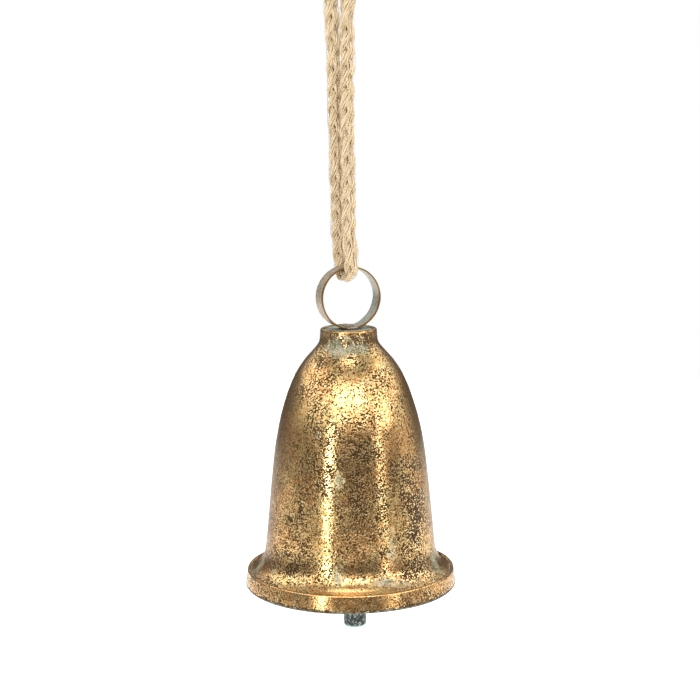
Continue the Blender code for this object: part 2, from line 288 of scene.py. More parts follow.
def antique_gold():
    """Gold leaf over a dark ground, which shows between its flecks.

    A mark says where the leaf is warm, where soot lies, where it is worn dull and where it has a
    green patina.  The mark for soot also carries painted shade and painted highlight, and the mark
    for wear also paints shade as a dull brown on the bell's sides as it is looked at.
    """
    f = Finish("antique_gold")
    tone = f.math("SUBTRACT", f.noise(24, 3), f.mark("warm"))
    leaf = f.mix(f.step(tone, 0.41, 0.60), COPPER, GOLD)
    leaf = f.mix(f.step(f.noise(13, 4, 0.6), 0.51, 0.66, 0.0, 0.6), leaf, OLIVE)
    leaf = f.mix(f.step(f.noise(LEAF_GRAIN, 2, 0.6), 0.5, 0.66), leaf, PALE_GOLD)

    # the ground shows wherever the soot, with the painted shade laid into it, is denser than the
    # leaf's grain; where the mark is negative, as painted highlight, the leaf lies whole
    density = f.math("MULTIPLY_ADD", f.noise(15, 3, 0.6), 0.34, f.mark("soot_and_shading"))
    density = f.math("MULTIPLY_ADD", f.noise(4.5, 2), 0.28, f.math("SUBTRACT", density, 0.03))
    grain = f.noise(LEAF_GRAIN, 1.3, 0.6)
    dark = f.step(f.math("SUBTRACT", density, grain), -0.205, -0.17)
    ground = f.mix(f.noise(3, 2), SOOT, BROWN)
    # the dull brown stands for wear, and on the sides of the bell and the hoop, as they are looked at,
    # for painted shade
    worn_and_shade = f.math("MULTIPLY", f.mark("worn_and_shade"), f.step(f.noise(4, 4, 0.7), 0.3, 0.62, 0.55, 1.0))
    dark = f.math("MULTIPLY", dark, f.blend(worn_and_shade, 1.0, 0.35))
    colour = f.mix(worn_and_shade, f.mix(dark, leaf, ground), WORN_AND_SHADE_BROWN)

    # the patina breaks up at its edges
    patina = f.math("ADD", f.mark("patina"), f.math("MULTIPLY_ADD", f.noise(3, 4, 0.7), 1.2, -0.66))
    green = f.math("MULTIPLY", f.step(patina, 0.10, 0.55), 0.75)
    film = f.mix(f.step(f.noise(5, 3), 0.35, 0.65), VERDIGRIS, PALE_VERDIGRIS)
    colour = f.mix(green, colour, film)

    f.set(Base_Color=colour)
    f.set(Metallic=f.math("MULTIPLY", f.blend(dark, 1.0, 0.92), f.blend(green, 1.0, 0.1)))
    rough = f.blend(worn_and_shade, f.blend(dark, f.blend(f.noise(5, 3), 0.14, 0.30), 0.5), 0.42)
    f.set(Roughness=f.blend(green, rough, 0.75))
    height = f.math("MULTIPLY_ADD", dark, -0.6, f.math("MULTIPLY", green, 0.8))
    f.set(Normal=f.bump(height, 0.05, 0.6, f.bump(f.noise(1.7, 3, 0.55), 0.12, 0.8)))
    return f.material


def old_metal(name, dark, mid, light, rubbed, metallic, roughness):
    """Dull metal mottled in three tones, with marks that say where it has a green film and where it
    is rubbed bright."""
    f = Finish(name)
    base = f.mix(f.step(f.noise(4, 4, 0.7), 0.36, 0.62), dark, mid)
    base = f.mix(f.step(f.noise(1.3, 4, 0.7), 0.5, 0.68), base, light)
    base = f.mix(f.math("MULTIPLY", f.mark("green"), f.noise(5, 3)), base, GREEN_FILM)
    rub = f.step(f.math("ADD", f.mark("rub"), f.math("MULTIPLY_ADD", f.noise(1.2, 3), 0.8, -0.4)),
                 0.45, 0.7)
    f.set(Base_Color=f.mix(rub, base, rubbed))
    f.set(Metallic=f.blend(rub, metallic, 0.95))
    f.set(Roughness=f.blend(rub, roughness, 0.35))
    f.set(Normal=f.bump(f.noise(0.9, 4, 0.65), 0.12, 0.6))
    return f.material


def jute():
    """Straw fibres, long and thin along each yarn.  The grain mark holds how far along the yarn a
    point is, in metres, and which side of it the point is on.  Another mark paints shade in the
    middle of the plait, between its strands, and darkens some loose fibres at random."""
    f = Finish("jute")
    fibre = f.noise(1000, 4, 0.65, f.stretch(f.mark("grain", "Vector"), (150, 3.6, 3.6)))
    colour = f.mix(f.step(fibre, 0.38, 0.57), JUTE_SHADE, JUTE_STRAW)
    colour = f.mix(f.math("MULTIPLY", f.mark("tint"), 0.4), colour, JUTE_TAN)
    # painted shade in the plait's middle, between its strands; some loose fibres take the same brown
    # at random
    colour = f.mix(f.mark("shade_and_dark_fibres"), colour, JUTE_SHADE_BROWN)
    f.set(Base_Color=colour, Roughness=0.85)
    f.shader.inputs["Sheen Weight"].default_value = 0.25
    f.shader.inputs["Sheen Roughness"].default_value = 0.5
    f.set(Normal=f.bump(fibre, 0.32, 0.9))
    return f.material


ANTIQUE_GOLD = antique_gold()
CROWN_PATINA = old_metal(
    "crown_patina", dark=(0.09, 0.11, 0.085), mid=(0.40, 0.47, 0.39), light=(0.82, 0.86, 0.79),
    rubbed=GOLD, metallic=0.2, roughness=0.6)
RING_METAL = old_metal(
    "ring_patina", dark=(0.24, 0.19, 0.13), mid=(0.36, 0.285, 0.20), light=(0.60, 0.51, 0.40),
    rubbed=(0.23, 0.115, 0.026), metallic=0.4, roughness=0.45)
IRON = old_metal(
    "dark_iron", dark=(0.03, 0.03, 0.026), mid=(0.08, 0.08, 0.07), light=(0.16, 0.16, 0.14),
    rubbed=(0.3, 0.24, 0.16), metallic=0.7, roughness=0.5)
WEIGHT_METAL = old_metal(
    "weight_patina", dark=(0.007, 0.008, 0.007), mid=(0.045, 0.055, 0.047),
    light=(0.48, 0.56, 0.50), rubbed=(0.2, 0.33, 0.33), metallic=0.5, roughness=0.4)
JUTE = jute()


# ---------------------------------------------------------------- the bell

ON_SEAM = 1e-6                   # m: how near the X axis a turned outline's points lie


def outline_of(node, upright=Matrix()):
    """The outline of a turned CAD node as (radius, z), once upright has stood it on the Z axis.

    It starts at the top and runs down the outer side, along the edges over the X axis.  A flat end
    without a hole has no edge there, so the outline stops at its rim.
    """
    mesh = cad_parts[node].data
    seam = {}
    for vertex in mesh.vertices:
        place = upright @ vertex.co
        if abs(place.y) < ON_SEAM and place.x > -ON_SEAM:
            seam[vertex.index] = (round(place.x, 6), round(place.z, 6))
    beside = {}
    for edge in mesh.edges:
        a, b = (seam.get(i) for i in edge.vertices)
        if a and b and a != b:
            beside.setdefault(a, set()).add(b)
            beside.setdefault(b, set()).add(a)
    walk = [max(beside, key=lambda p: (p[1], p[0]))]
    ahead = [max(beside[walk[0]])]
    while ahead and ahead[0] != walk[0]:
        walk.append(ahead[0])
        ahead = [p for p in beside[walk[-1]] if p != walk[-2]]
    return np.array(walk)


def rounded(outline, spacing, radius):
    """A closed outline with its corners rounded, as evenly spaced points.

    Each point becomes a mean of those near it, whose weight falls off over the radius.
    """
    steps = 4                    # to the radius
    fine = even(np.vstack([outline, outline[:1]]), radius / steps)[:-1]
    total = np.zeros_like(fine)
    weights = 0
    for shift in range(-10, 11):
        weight = math.exp(-(shift / steps) ** 2)
        total += np.roll(fine, shift, axis=0) * weight
        weights += weight
    return even(np.vstack([total / weights, total[:1] / weights]), spacing)[:-1]


def turned(outline, steps):
    """The points, normals and faces of a closed outline turned about Z."""
    ahead = np.roll(outline, -1, axis=0) - np.roll(outline, 1, axis=0)
    out = unit(np.stack([-ahead[:, 1], ahead[:, 0]], 1))
    turn = 2 * np.pi * np.arange(steps) / steps

    def spin(radial, upright):
        return np.stack([np.outer(np.cos(turn), radial), np.outer(np.sin(turn), radial),
                         np.tile(upright, (steps, 1))], -1).reshape(-1, 3)

    return (spin(outline[:, 0], outline[:, 1]), spin(out[:, 0], out[:, 1]),
            grid_faces(steps, len(outline), wrap_rows=True))


def bearing_of(points):
    """Degrees round the bell from its front, to the right as it is looked at."""
    angle = np.degrees(np.arctan2(points[:, 0], -points[:, 1])) - FRONT
    return (angle + 180) % 360 - 180


def patches(points, spots):
    """How strongly each point lies in the spots, which are given as (bearing, height, half width,
    half height, strength), with the bearing in degrees and the rest in mm."""
    bearing = bearing_of(points)
    height = (points[:, 2] - LIP) / MM
    radius = np.hypot(points[:, 0], points[:, 1]) / MM
    total = np.zeros(len(points))
    for spot_bearing, spot_height, wide, tall, strength in spots:
        gap = (bearing - spot_bearing + 180) % 360 - 180
        across = np.radians(gap) * radius / wide
        total += strength * np.exp(-(across ** 2 + ((height - spot_height) / tall) ** 2))
    return total


# darker and lighter patches in the leaf.  The negative ones straight in front, on the collar's rim, in
# the cove and just above the hoop, are painted highlight; the ones at bearing 6, down the dark stripe
# between the two reflected streaks, and the one at -75 on the left side are painted shade
SOOT_AND_SHADING_SPOTS = [                   # a negative strength is where the leaf lies whole
    (-41, 153, 5, 3, 0.08), (-30, 142, 7, 5, 0.05), (6, 100, 10, 9, 0.06), (6, 67, 6, 7, 0.08),
    (6, 80, 8, 26, 0.06), (51, 58, 10, 13, 0.16), (0, 17, 24, 4, -0.07), (40, 75, 9, 12, 0.04),
    (50, 38, 9, 9, 0.08), (62, 88, 7, 16, 0.03), (-28, 28, 8, 8, 0.04), (46, 22, 11, 8, 0.10),
    (-40, 25, 8, 9, 0.04), (-48, 73, 7, 12, -0.08), (-20, 45, 8, 20, -0.04),
    (2, 130, 16, 10, -0.05), (34, 20, 6, 3, 0.05), (0, 12, 34, 2.6, -0.2),
    (0, 172.7, 24, 1.1, -0.35), (-60, 132, 24, 14, -0.03), (0, 166, 60, 6, 0.11),
    (46, 112, 10, 16, -0.06), (24, 62, 5, 44, 0.05), (2, 140, 18, 6, 0.02),
    (-84, 80, 10, 90, -0.02), (-52, 118, 12, 10, -0.03), (50, 130, 24, 14, -0.03),
    (-75, 60, 16, 40, 0.05), (40, 98, 12, 16, -0.04),
]
# on the hoop: those at 90 degrees darken its sides, as they are looked at, as painted shade
BAND_SPOTS = [                   # the same, on the hoop
    (-2, 5, 18, 9, -0.10), (-45, 5, 14, 9, 0.01), (38, 5, 16, 9, 0.05), (-90, 5, 40, 9, 0.05),
    (90, 5, 40, 9, 0.05),
]
WARM_SPOTS = [                   # where the leaf is more copper than gold
    (-78, 60, 20, 60, 0.12), (60, 90, 12, 40, 0.12), (-50, 140, 16, 14, 0.08),
    (46, 25, 14, 14, 0.1), (-48, 73, 9, 14, 0.06),
]
# the two tall spots, on the bell's left and right sides as it is looked at, are painted shade; the
# small one is rubbed to the dull brown
WORN_AND_SHADE_SPOTS = [                   # where the leaf is a dull even brown: painted shade on the sides, and wear
    (-80, 75, 17, 90, 0.85), (82, 80, 15, 90, 0.8), (-60, 100, 6, 30, 0.3),
]
GREEN_SPOTS = [                  # where there is a green patina
    (0, 168, 16, 4, 0.3), (-36, 162, 6, 5, 0.42), (-12, 159, 7, 4, 0.55), (20, 161, 8, 4, 0.5),
    (-26, 110, 3, 9, 0.35), (-8, 82, 3.2, 6, 0.55), (30, 47, 1.6, 7, 0.5), (28, 33, 4, 8, 0.5),
    (-8, 21, 4.5, 7, 0.55), (20, 17, 12, 3.5, 0.5), (34, 14, 7, 2, 0.5), (45, 14, 3, 2, 0.5),
    (-80, 16, 6, 6, 0.6), (70, 19, 6, 9, 0.6), (-58, 17, 8, 4, 0.35),
]


SHEET = 1.6                      # mm
SHELL_OUTLINE = [                # radius and height above the lip, in mm, from the collar down
    (16.6, 172.7), (17.6, 172.7), (18.4, 172.3), (18.7, 171.4), (18.8, 169.0), (19.0, 166.4),
    (19.7, 163.4), (21.8, 160.3), (25.0, 156.6), (29.1, 151.9), (33.1, 146.2), (36.5, 140.0),
    (39.5, 133.0), (42.6, 124.0), (45.5, 114.0), (48.1, 102.0), (50.3, 88.0), (52.1, 72.0),
    (53.7, 56.0), (55.1, 42.0), (56.3, 29.0), (57.5, 22.0), (59.6, 17.0), (62.6, 13.2),
    (66.2, 11.0),
]
SHELL_STEPS = 360                # round the bell
SEAT_CLEARANCE = 0.3             # round the disc
SEAT_LIP = 0.4                   # how far below the collar's rim the seat begins
# how much darker the shell's whole inner side is drawn, with less of the leaf showing
INNER_DARKENING = 0.3

BAND_OUTLINE = [                 # radius and height, round the hoop's section
    (66.5, 11.6), (68.9, 11.6), (70.4, 1.5), (69.6, 0.2), (68.5, 0.0), (66.5, 0.0),
]
BAND_STEPS = 480
BAND_FOOT = 3.0                  # below this height the hoop is sooty and green
BAND_HIGHLIGHT_HEIGHT = 9.6                  # above it the leaf is whole, in front, as a painted highlight
BAND_FADE = 1.4                  # both come on over this height
BAND_HIGHLIGHT_REACH = 48                  # degrees: how far round the painted highlight on the upper edge reaches


def bell_shell():
    """The spun sheet: its outer side, its inner side and the seat that the disc lies in."""
    low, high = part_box("crown_disc")
    outer = even(curved([(r * MM, at(h)) for r, h in SHELL_OUTLINE]), 1.0 * MM)
    sparse = even(outer, 4 * MM)
    along = unit(np.gradient(sparse, axis=0))
    inner = (sparse + SHEET * MM * np.stack([along[:, 1], -along[:, 0]], 1))[::-1]
    inner = inner[inner[:, 1] < low.z - 1 * MM]
    seat_radius = high.x + SEAT_CLEARANCE * MM
    seat = [(seat_radius, low.z), (seat_radius, outer[0, 1] - SEAT_LIP * MM)]
    profile = np.vstack([outer, inner, seat])
    points, normals, faces = turned(profile, SHELL_STEPS)
    side = np.tile(np.arange(len(profile)), SHELL_STEPS)
    outside = side < len(outer)
    hidden = ~outside & (side < len(outer) + len(inner))
    height = uneven(points, (0.22, 26, 1), (0.07, 9, 2), (0.035, 2.6, 3))
    points = points + normals * (height * outside)[:, None]
    # patches of soot, painted shade and painted highlight from the spots, and the inner side drawn
    # darker all over
    soot_and_shading = 0.03 * lumps(points, 16 * MM, 4) + patches(points, SOOT_AND_SHADING_SPOTS) + hidden * INNER_DARKENING
    marks = {"soot_and_shading": soot_and_shading, "patina": patches(points, GREEN_SPOTS) * (1 - hidden),
             "warm": patches(points, WARM_SPOTS), "worn_and_shade": patches(points, WORN_AND_SHADE_SPOTS)}
    make_piece("shell_metal", points, faces, ANTIQUE_GOLD, "bell",
               ["bell_shell"], marks)


def lip_band():
    """The hoop, with a painted highlight along its upper edge in front, painted shade on its sides and
    a dark green foot.
    """
    outline = np.array([(r * MM, at(h)) for r, h in BAND_OUTLINE])
    points, normals, faces = turned(rounded(outline, 0.5 * MM, 0.5 * MM), BAND_STEPS)
    height = uneven(points, (0.12, 14, 11), (0.05, 4, 12))
    points = points + normals * height[:, None]
    fade = BAND_FADE * MM
    foot = np.clip((at(BAND_FOOT) - points[:, 2]) / fade, 0, 1)
    front = np.exp(-(bearing_of(points) / BAND_HIGHLIGHT_REACH) ** 2)
    # a painted highlight along the upper edge in front, with a little painted shade on it behind: in
    # front it takes the soot away, warms the leaf and keeps the patina off
    edge = np.clip((points[:, 2] - at(BAND_HIGHLIGHT_HEIGHT)) / fade, 0, 1) * (1.3 * front - 0.3)
    marks = {"soot_and_shading": 0.04 * lumps(points, 12 * MM, 13) - 0.05 - 0.12 * edge
             + patches(points, BAND_SPOTS) + 0.35 * foot,
             "patina": 0.35 * foot + patches(points, GREEN_SPOTS) * 0.5 * (1 - edge),
             "warm": np.full(len(points), 0.2) + 0.1 * edge,
             # the hoop's sides, away from the front, are dulled as painted shade
             "worn_and_shade": 0.2 * (1 - front) * (1 - foot)}
    make_piece("band_metal", points, faces, ANTIQUE_GOLD, "bell",
               ["lip_band"], marks)


def crown_disc():
    profile = rounded(outline_of("crown_disc"), 0.4 * MM, 0.3 * MM)
    points, normals, faces = turned(profile, 200)
    points = points + normals * uneven(points, (0.15, 5, 21), (0.06, 1.5, 22))[:, None]
    make_piece("crown_disc_metal", points, faces, CROWN_PATINA, "bell",
               ["crown_disc"], {"rub": np.zeros(len(points))})


RING_STRIP = 1.0                 # mm: the strip's thickness
RING_SWELL = 0.1                 # how much thicker it is drawn
RING_STEPS = 300
RING_RUB = 1.4                   # how far in from its edges the strip is rubbed
RING_RUB_FADE = 0.9              # the rub comes on over this much of it


def hanging_ring():
    """The rolled strip, a little uneven, rubbed to bare metal along its edges."""
    low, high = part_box("hanging_ring")
    centre, half = (low.z + high.z) / 2, (high.y - low.y) / 2
    outer = (high.z - low.z) / 2
    strip = (RING_STRIP + RING_SWELL) * MM
    section = np.array([(outer, half), (outer, -half), (outer - strip, -half), (outer - strip, half)])
    section = rounded(section, 0.32 * MM, 0.28 * MM)
    turn = 2 * np.pi * np.arange(RING_STEPS) / RING_STEPS
    points = np.stack([np.outer(np.cos(turn), section[:, 0]),
                       np.tile(section[:, 1], (RING_STEPS, 1)),
                       centre + np.outer(np.sin(turn), section[:, 0])], -1).reshape(-1, 3)
    middle, round_y = np.array([0, 0, centre]), [1, 0, 1]
    out = unit((points - middle) * round_y)
    points = points + out * uneven(points, (0.12, 7, 31), (0.04, 1.8, 32))[:, None]
    rub = np.clip((np.abs(points[:, 1]) - half + RING_RUB * MM) / (RING_RUB_FADE * MM), 0, 1)
    faces = grid_faces(RING_STEPS, len(section), wrap_rows=True)[:, ::-1]
    inside = np.linalg.norm((points - middle) * round_y, axis=1) < outer - strip / 2
    make_piece("ring_metal", points, faces, RING_METAL, "bell", ["hanging_ring"],
               {"rub": rub, "green": inside.astype(float)})


def blob(centre, size, seed, rows=24, columns=32):
    """A lumpy closed bead, with flat caps at its poles."""
    tilt = np.pi * (np.arange(rows) + 0.5) / rows
    turn = 2 * np.pi * np.arange(columns) / columns
    out = np.stack([np.outer(np.sin(tilt), np.cos(turn)), np.outer(np.sin(tilt), np.sin(turn)),
                    np.tile(np.cos(tilt)[:, None], (1, columns))], -1).reshape(-1, 3)
    scale = 1 + 0.18 * lumps(out + seed, 0.7, seed) + 0.08 * lumps(out, 0.3, seed + 1)
    points = np.asarray(centre) + out * np.asarray(size) * scale[:, None]
    faces = [list(f) for f in grid_faces(rows, columns)[:, ::-1]]
    faces.append(list(range(columns)))
    faces.append(list(range(len(points) - columns, len(points)))[::-1])
    return points, faces


def ring_weld(node, seed):
    """A bead of weld that fills the CAD node's box."""
    low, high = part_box(node)
    centre, size = np.array((low + high) / 2), np.array((high - low) / 2)
    points, faces = blob(centre, size, seed)
    make_piece(node + "_bead", points, faces, RING_METAL, "bell", [node],
               {"rub": np.zeros(len(points))})


CLAPPER_LEAN = (-0.3, -0.75)     # degrees about X and Y: the clapper hangs a little to one side
LEAN_HEIGHT = 160.7              # where it leans from, above the lip
WEIGHT_SWELL = 0.3               # mm: how much stouter the weight is drawn
WEIGHT_FOOT_RIM = -27.6          # the height where the rubbed foot begins
WEIGHT_FOOT_FADE = 1.5           # the rub comes on over this height


def clapper_weight():
    """The weight's side and the rounded rims of its ends, which are open, turned upright and then
    leant as the CAD's is."""
    turn = Euler((*(math.radians(lean) for lean in CLAPPER_LEAN), 0)).to_matrix().to_4x4()
    hang = Matrix.Translation((0, 0, at(LEAN_HEIGHT)))
    leaning = hang @ turn @ hang.inverted()
    profile = rounded(outline_of("clapper_weight", leaning.inverted()), 0.5 * MM, 0.3 * MM)
    points, normals, faces = turned(profile, 96)
    height = WEIGHT_SWELL * MM + uneven(points, (0.15, 4, 41), (0.07, 1.3, 42))
    points = points + normals * height[:, None]
    foot = np.clip((at(WEIGHT_FOOT_RIM) - points[:, 2]) / (WEIGHT_FOOT_FADE * MM), 0, 1)
    points = points @ np.array(leaning.to_3x3()).T + np.array(leaning.translation)
    make_piece("clapper_weight_metal", points, faces, WEIGHT_METAL, "clapper",
               ["clapper_weight"], {"rub": foot})


# ---------------------------------------------------------------- the rope

PLAIT_WIDTH = 9.0                # mm
PLAIT_THICKNESS = 6.6
PLAIT_PITCH = 42.0               # for a strand to come back to its place
STRANDS = 3
STRAND_WIDTH = 1.72              # from a strand's middle to the middle of its outermost yarns
STRAND_THICKNESS = 0.80          # the same, out of the flat side
STRAND_BULGE = 0.4               # how far past the plait's width a strand's yarns may stand
YARNS = 6                        # in a strand
YARN_PITCH = 34.0                # for a yarn to go round its strand
YARN_RADIUS = 0.74
YARN_SIDES = 8
ROPE_STEP = 1.0                  # between the points of the rope's route
FRAY = 9.0                       # how far from its ends the rope frays
BUNCH = 9.0                      # how far up from the ring it is bunched together
SHADE_CORE = 0.56                      # of the plait's half width: what lies nearer its middle gets painted shade
SHADE_CORE_FADE = 0.38
ROPE_SIDE = -1.6                 # the rope bears a little to the left of the ring's top
ROPE_RADIUS = 4.0                # of the tube that stands for it, which is set by this route
RING_GAP = 0.3                   # between that tube and the ring
ROPE_DROP = 0.7                  # how much lower than that the rope bears
BIGHT_BEND = 4.5                 # the radius of its bend under the ring's top
FRONT_LEG = [                    # x, y and height above the lip, in mm, from the ring up
    (-1.6, -10.4, 215.0), (-1.6, -10.2, 221.0), (-1.4, -7.8, 230.0), (-1.3, -5.3, 240.0),
    (-0.9, -4.2, 253.0), (-0.7, -3.8, 270.0), (-1.0, -3.7, 293.0), (-1.0, -3.5, 317.0),
    (-0.7, -3.1, 340.0), (-0.1, -2.4, 360.0), (0.1, -1.8, 377.0), (2.0, -2.0, 388.0),
    (5.6, -2.4, 397.0), (7.0, -2.5, 404.0), (5.2, -2.0, 409.6), (3.9, -1.7, 412.5),
]
BACK_LEG = [
    (-1.6, 10.4, 215.0), (-1.9, 10.2, 221.0), (-3.3, 7.8, 230.0), (-4.3, 5.3, 240.0),
    (-4.9, 4.2, 253.0), (-5.7, 3.8, 270.0), (-6.2, 3.7, 293.0), (-6.6, 3.5, 317.0),
    (-7.1, 3.1, 340.0), (-8.1, 2.4, 360.0), (-8.9, 1.8, 377.0), (-9.4, 2.0, 388.0),
    (-9.3, 2.3, 397.0), (-8.6, 2.4, 404.0), (-6.6, 2.1, 409.6), (-5.2, 1.8, 412.5),
]
TAIL_LEFT = [(-5.0, 1.5, 447.2), (-7.0, 2.4, 455.0), (-11.0, 3.4, 463.0), (-14.5, 3.8, 470.0)]
TAIL_RIGHT = [(4.4, -1.5, 447.2), (6.6, -2.6, 455.0), (10.4, -4.2, 462.0), (13.0, -5.6, 468.5)]

KNOT_ROPE = 7.0                  # mm: the rope's thickness, drawn tight
KNOT_POINTS = 46                 # along each of the two ropes
KNOT_SEGMENT = 2.6               # between two points, once the knot is tight
KNOT_ROUNDS = 1500               # of three pulls each
KNOT_SIDE = -0.7                 # the knot hangs a little to the left


def loose_knot(level):
    """Two parallel ropes in an open trefoil with long ends, round a height, in mm."""
    t = np.linspace(-2.18, 2.18, KNOT_POINTS)
    loose = np.stack([8 * (t ** 3 - 3 * t), 14 / 3 * (t ** 4 - 4 * t ** 2 + 1.5),
                      1.4 * (t ** 5 - 10 * t)], 1)
    side, sides = np.array([1.0, 0, 0]), []
    for direction in unit(np.gradient(loose, axis=0)):
        side = squared(side, direction)
        sides.append(side)
    loose[:, 2] += level
    apart = np.array(sides) * KNOT_ROPE * 0.55
    return np.stack([loose + apart, loose - apart])


def draw_along(ropes, length):
    """Straightens two ropes a little, keeps them side by side and brings their points to a length
    from each other."""
    ropes[:, 1:-1] += 0.12 * ((ropes[:, :-2] + ropes[:, 2:]) / 2 - ropes[:, 1:-1])
    between = ropes[0] - ropes[1]
    gap = np.linalg.norm(between, axis=1, keepdims=True)
    pull = 0.02 * between * np.maximum(0, gap - 1.12 * KNOT_ROPE) / gap
    ropes[0] -= pull
    ropes[1] += pull
    for odd in (0, 1):
        pairs = (KNOT_POINTS - odd) // 2
        a = slice(odd, odd + 2 * pairs - 1, 2)
        b = slice(odd + 1, odd + 2 * pairs, 2)
        along = ropes[:, b] - ropes[:, a]
        shift = 0.5 * along * (1 - length / np.linalg.norm(along, axis=2, keepdims=True))
        ropes[:, a] += shift
        ropes[:, b] -= shift


def push_apart(ropes, one, other):
    """Moves the pairs of points one and other apart where they are nearer than a rope's thickness."""
    flat = ropes.reshape(-1, 3)
    between = flat[one] - flat[other]
    gap = np.linalg.norm(between, axis=1)
    hit = gap < KNOT_ROPE
    push = 0.3 * between[hit] * (KNOT_ROPE / gap[hit] - 1)[:, None]
    np.add.at(flat, one[hit], push)
    np.add.at(flat, other[hit], -push)


def keep_middle(ropes):
    """Moves the knot a little way back to its place over the rope's legs."""
    middle = ropes[:, 2:-2]
    middle[..., 1] -= 0.05 * (middle[..., 1].max() + middle[..., 1].min()) / 2
    middle[..., 0] -= 0.05 * ((middle[..., 0].max() + middle[..., 0].min()) / 2 - KNOT_SIDE)


def overhand_knot(bottoms, tops):
    """Two parallel ropes tied in one overhand knot, drawn tight between their ends, in mm.

    They start as a loose trefoil.  Each round shortens them, straightens them a little and pushes
    apart what touches, until they lie a rope's thickness from each other.  Their ends meanwhile
    move to bottoms and tops, and the last rounds only settle them.
    """
    ropes = loose_knot((bottoms[0][2] + tops[0][2]) / 2)
    bottoms, tops = np.array(bottoms), np.array(tops)
    if np.linalg.norm(ropes[0, -1] - tops[0]) > np.linalg.norm(ropes[0, -1] - tops[1]):
        tops = tops[::-1]
    first, loose_segment = ropes.copy(), np.linalg.norm(np.diff(ropes, axis=1), axis=2).mean()
    which = np.repeat([0, 1], KNOT_POINTS)
    index = np.tile(np.arange(KNOT_POINTS), 2)
    one, other = np.triu_indices(2 * KNOT_POINTS, 1)
    reach = abs(index[one] - index[other]) * KNOT_SEGMENT
    apart = (which[one] != which[other]) | (reach > 1.6 * KNOT_ROPE)
    one, other = one[apart], other[apart]
    for k in range(3 * KNOT_ROUNDS):
        share = min(1, (k // 3) / (0.6 * KNOT_ROUNDS))
        draw_along(ropes, loose_segment * (1 - share) + KNOT_SEGMENT * share)
        push_apart(ropes, one, other)
        keep_middle(ropes)
        ropes[:, 0] = first[:, 0] * (1 - share) + bottoms * share
        ropes[:, -1] = first[:, -1] * (1 - share) + tops * share
        ropes[:, 1, :2] += 0.3 * (ropes[:, 0, :2] - ropes[:, 1, :2])
        ropes[:, -2, :2] += 0.3 * (ropes[:, -1, :2] - ropes[:, -2, :2])
    return ropes


def bight():
    """The rope's bend under the ring's top, from the front leg to the back one, in mm."""
    low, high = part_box("hanging_ring")
    outer = (high.z - low.z) / 2 / MM
    inside = outer - RING_STRIP - RING_GAP - ROPE_RADIUS
    level = (high.z - LIP) / MM - outer + math.sqrt(inside ** 2 - ROPE_SIDE ** 2) - ROPE_DROP
    turn_y = -FRONT_LEG[0][1] - BIGHT_BEND
    front = []
    for turn in np.linspace(0, math.pi / 2, 5):
        front.append((ROPE_SIDE, -turn_y - BIGHT_BEND * math.cos(turn),
                      level + BIGHT_BEND * (1 - math.sin(turn))))
    middle = [(ROPE_SIDE, y * turn_y, level) for y in (-0.5, 0, 0.5)]
    return front + middle + [(x, -y, z) for x, y, z in front[::-1]]


def rope_route():
    """The whole rope's middle line, from one tail through knot, loop and knot to the other."""
    knot = overhand_knot((FRONT_LEG[-1], BACK_LEG[-1]), (TAIL_RIGHT[0], TAIL_LEFT[0]))
    tails = [TAIL_RIGHT, TAIL_LEFT]
    if np.linalg.norm(knot[0, -1] - TAIL_RIGHT[0]) > 1:
        tails = tails[::-1]
    route = np.vstack([
        tails[0][:0:-1], knot[0][::-1], FRONT_LEG[-2::-1], bight(), BACK_LEG[:-1], knot[1],
        tails[1][1:]])
    fine = even(curved(route), ROPE_STEP)
    for _ in range(6):
        fine[1:-1] = (fine[:-2] + fine[1:-1] * 2 + fine[2:]) / 4
    return even(fine, ROPE_STEP)


def rope_sides(route):
    """For each point of the rope the direction across its flat side, and the one out of it."""
    ahead = unit(np.gradient(route, axis=0))
    lowest = int(np.argmin(route[:, 2]))
    across = np.zeros_like(route)
    for way in (range(lowest, len(route)), range(lowest, -1, -1)):
        side = np.array([1.0, 0, 0])
        for k in way:
            if route[k, 2] < FRONT_LEG[-1][2]:
                side = np.array([1.0, 0, 0])
            side = squared(side, ahead[k])
            across[k] = side
    return across, np.cross(ahead, across)


def sweep(route, radius, sides, start):
    """A tube round a run of points, with a radius for each: its points, its faces with their caps,
    and the bearings of its sides."""
    ahead = unit(np.gradient(route, axis=0))
    side = np.cross(ahead[0], [0.3, 0.5, 0.81])
    across = np.zeros_like(route)
    for k in range(len(route)):
        side = squared(side, ahead[k])
        across[k] = side
    up = np.cross(ahead, across)
    turn = 2 * np.pi * np.arange(sides) / sides
    out = (across[:, None] * np.cos(turn)[None, :, None]
           + up[:, None] * np.sin(turn)[None, :, None])
    rings = route[:, None] + radius[:, None, None] * out
    faces = [list(f) for f in grid_faces(len(route), sides, start=start)]
    faces.append([start + k for k in range(sides)][::-1])
    faces.append([start + (len(route) - 1) * sides + k for k in range(sides)])
    return rings.reshape(-1, 3), faces, turn


def in_frame(points):
    """Points in mm, with their heights above the lip, as metres in the frame."""
    return points * MM + [0, 0, LIP]


